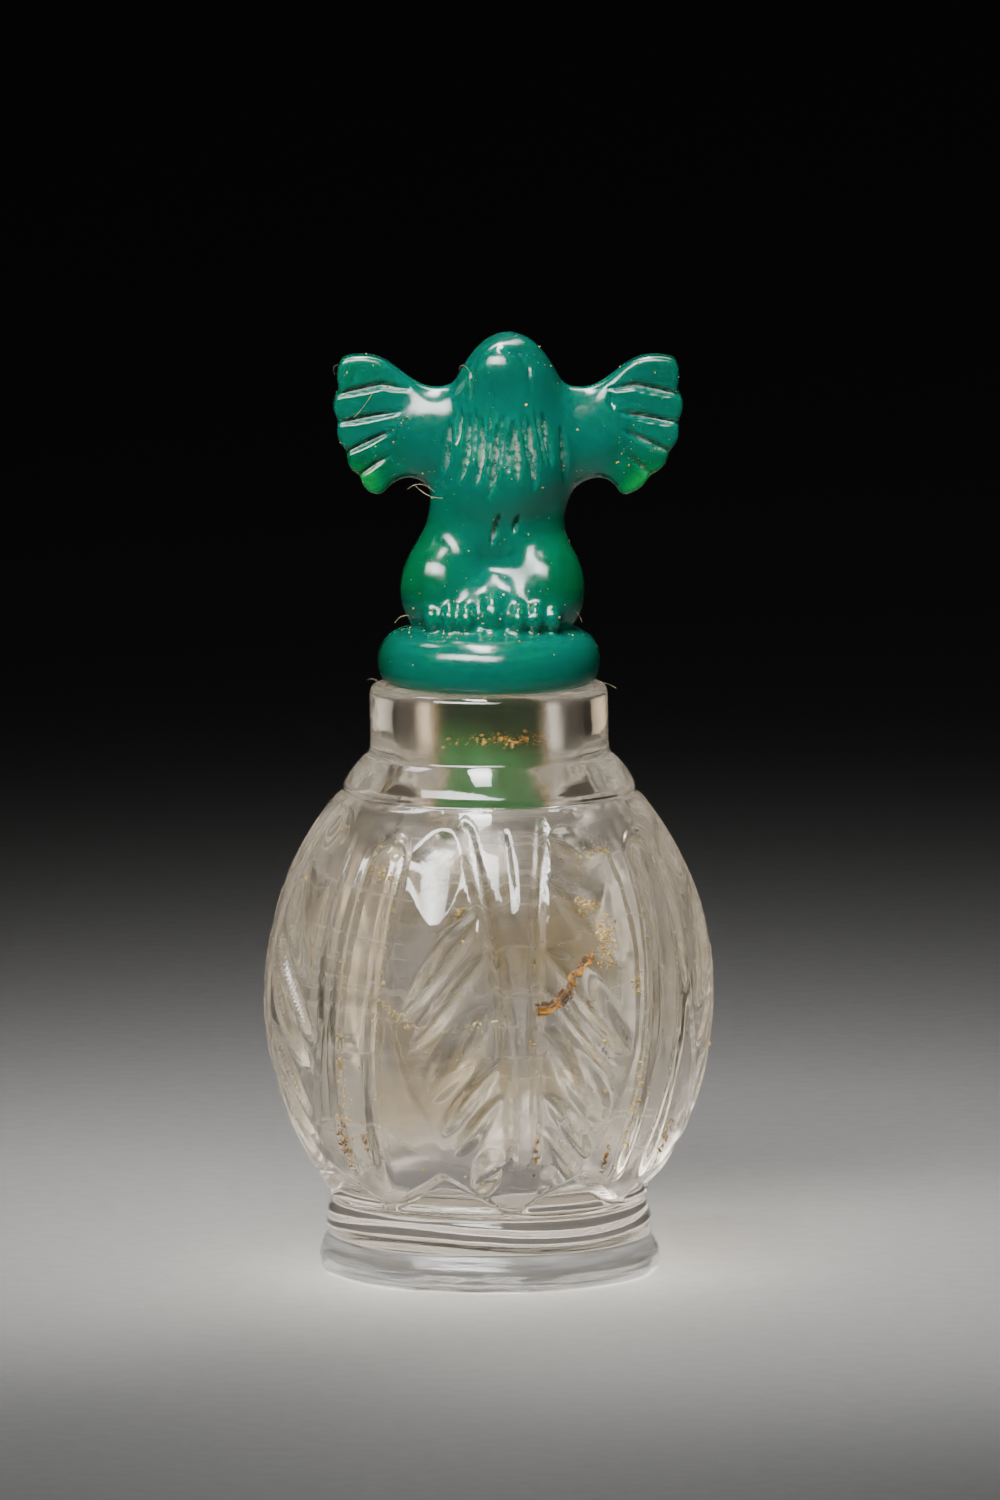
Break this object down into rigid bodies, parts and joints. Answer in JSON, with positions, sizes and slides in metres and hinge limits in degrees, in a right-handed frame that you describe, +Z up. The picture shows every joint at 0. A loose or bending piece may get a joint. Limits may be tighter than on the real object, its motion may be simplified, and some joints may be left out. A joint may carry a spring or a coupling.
{
  "type": "rock crystal perfume bottle with carved bird stopper",
  "caption": "Small hollow bottle of clear rock crystal with wheel-cut hanging leaves, closed by a lift-out green chalcedony stopper carved as a bird with spread wings.",
  "frame": {"origin": "centre of the foot's underside, on the bottle's own axis", "axes": "+Z up along the bottle's axis, the bird's front faces -Y, +X is the viewer's right in the picture"},
  "size_m": [0.033, 0.033, 0.0698],
  "materials": {
    "rock_crystal": "polished clear rock crystal, softened by wear and with dust in the cuts",
    "green_chalcedony": "waxy polish, slightly translucent teal-green chalcedony"
  },
  "bodies": {
    "root": {"crystal_bottle": "rock_crystal", "bird_stopper": "green_chalcedony"}
  },
  "joints": []
}
